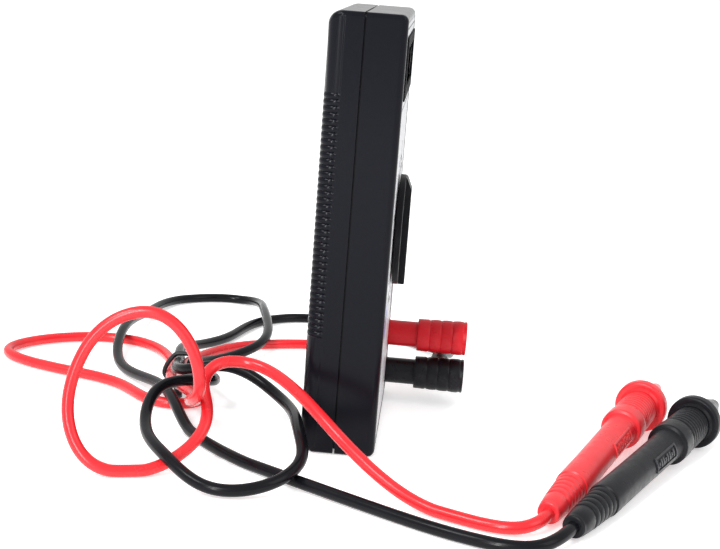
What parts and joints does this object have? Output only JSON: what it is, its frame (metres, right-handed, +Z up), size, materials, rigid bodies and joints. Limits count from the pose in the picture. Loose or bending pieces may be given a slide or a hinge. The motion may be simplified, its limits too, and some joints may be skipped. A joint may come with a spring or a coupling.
{
  "type": "digital multimeter",
  "caption": "Pocket digital multimeter standing on end, with rotary selector, display, three jacks, ribbed grip sides, and red and black test leads tied in a loose bundle",
  "frame": {"origin": "Middle of the bottom end that the meter stands on, taken without the test leads.", "axes": "+Z up along the meter's height, -Y out of its front face with the display and the knob, +X to the right of a person looking at the front."},
  "size_m": [0.2344, 0.2367, 0.126],
  "materials": {
    "case_plastic": "fine satin spark texture",
    "knob_plastic": "smooth satin",
    "label_sheet": "silver printed sheet",
    "window_plastic": "clear window with a dark printed border",
    "lcd_cell": "grey-green display glass",
    "white_plastic": "plain moulded",
    "elastomer": "soft layered strip",
    "board_laminate": "solder-masked laminate",
    "epoxy": "poured epoxy",
    "spring_steel": "bright wire",
    "nickel": "nickel plated",
    "contact_brass": "plain",
    "shunt_metal": "copper alloy wire",
    "fuse_glass": "clear",
    "blue_plastic": "plain moulded",
    "capacitor_coat": "dipped",
    "resistor_coat": "lacquered, with coloured rings",
    "battery_can": "printed metal jacket",
    "screw_steel": "zinc plated",
    "red_lead": "smooth soft vinyl",
    "black_lead": "smooth soft vinyl",
    "tie_coat": "vinyl-coated wire"
  },
  "bodies": {
    "meter": {"front_shell": "case_plastic", "rear_shell": "case_plastic", "front_label": "label_sheet", "lcd_window": "window_plastic", "lcd_glass": "lcd_cell", "lcd_frame": "white_plastic", "zebra_strip": "elastomer", "main_board": "board_laminate", "converter_chip": "epoxy", "red_probe_needle": "nickel", "black_probe_needle": "nickel", "fuse_cap_1": "nickel", "fuse_cap_2": "nickel", "jack_sleeve_com": "contact_brass", "jack_sleeve_volt": "contact_brass", "jack_sleeve_ten_amp": "contact_brass", "fuse_clip_1": "contact_brass", "fuse_clip_2": "contact_brass", "shunt_wire": "shunt_metal", "fuse_glass": "fuse_glass", "transistor_socket": "blue_plastic", "trimmer_base": "blue_plastic", "film_capacitor": "capacitor_coat", "resistor_1": "resistor_coat", "resistor_2": "resistor_coat", "resistor_3": "resistor_coat", "resistor_4": "resistor_coat", "battery_9v": "battery_can", "case_screw_1": "screw_steel", "case_screw_2": "screw_steel", "board_screw_1": "screw_steel", "board_screw_2": "screw_steel", "board_screw_3": "screw_steel", "red_cord": "red_lead", "red_probe_body": "red_lead", "battery_wire_red": "red_lead", "black_cord": "black_lead", "black_probe_body": "black_lead", "battery_wire_black": "black_lead", "battery_snap": "black_lead", "cord_tie": "tie_coat"},
    "knob": {"selector_knob": "knob_plastic", "contact_carrier": "white_plastic", "detent_ball_1": "nickel", "detent_ball_2": "nickel", "detent_spring_1": "spring_steel", "detent_spring_2": "spring_steel", "wiper_1": "contact_brass", "wiper_2": "contact_brass", "wiper_3": "contact_brass"},
    "trimmer": {"trimmer_rotor": "white_plastic"},
    "red_plug": {"red_plug_body": "red_lead", "red_plug_pin": "nickel"},
    "black_plug": {"black_plug_body": "black_lead", "black_plug_pin": "nickel"}
  },
  "joints": [
    {"name": "selector_turn", "type": "hinge", "parent": "meter", "child": "knob", "pos_m": [0, -0.0111, 0.0611], "axis": [0, -1, 0], "continuous": true},
    {"name": "trimmer_turn", "type": "hinge", "parent": "meter", "child": "trimmer", "pos_m": [0.02, 0.0041, 0.092], "axis": [0, 1, 0], "range_deg": [-105, 105]},
    {"name": "red_plug_pull", "type": "slide", "parent": "meter", "child": "red_plug", "axis": [0, -1, 0], "range_m": [0, 0.018]},
    {"name": "black_plug_pull", "type": "slide", "parent": "meter", "child": "black_plug", "axis": [0, -1, 0], "range_m": [0, 0.018]}
  ]
}
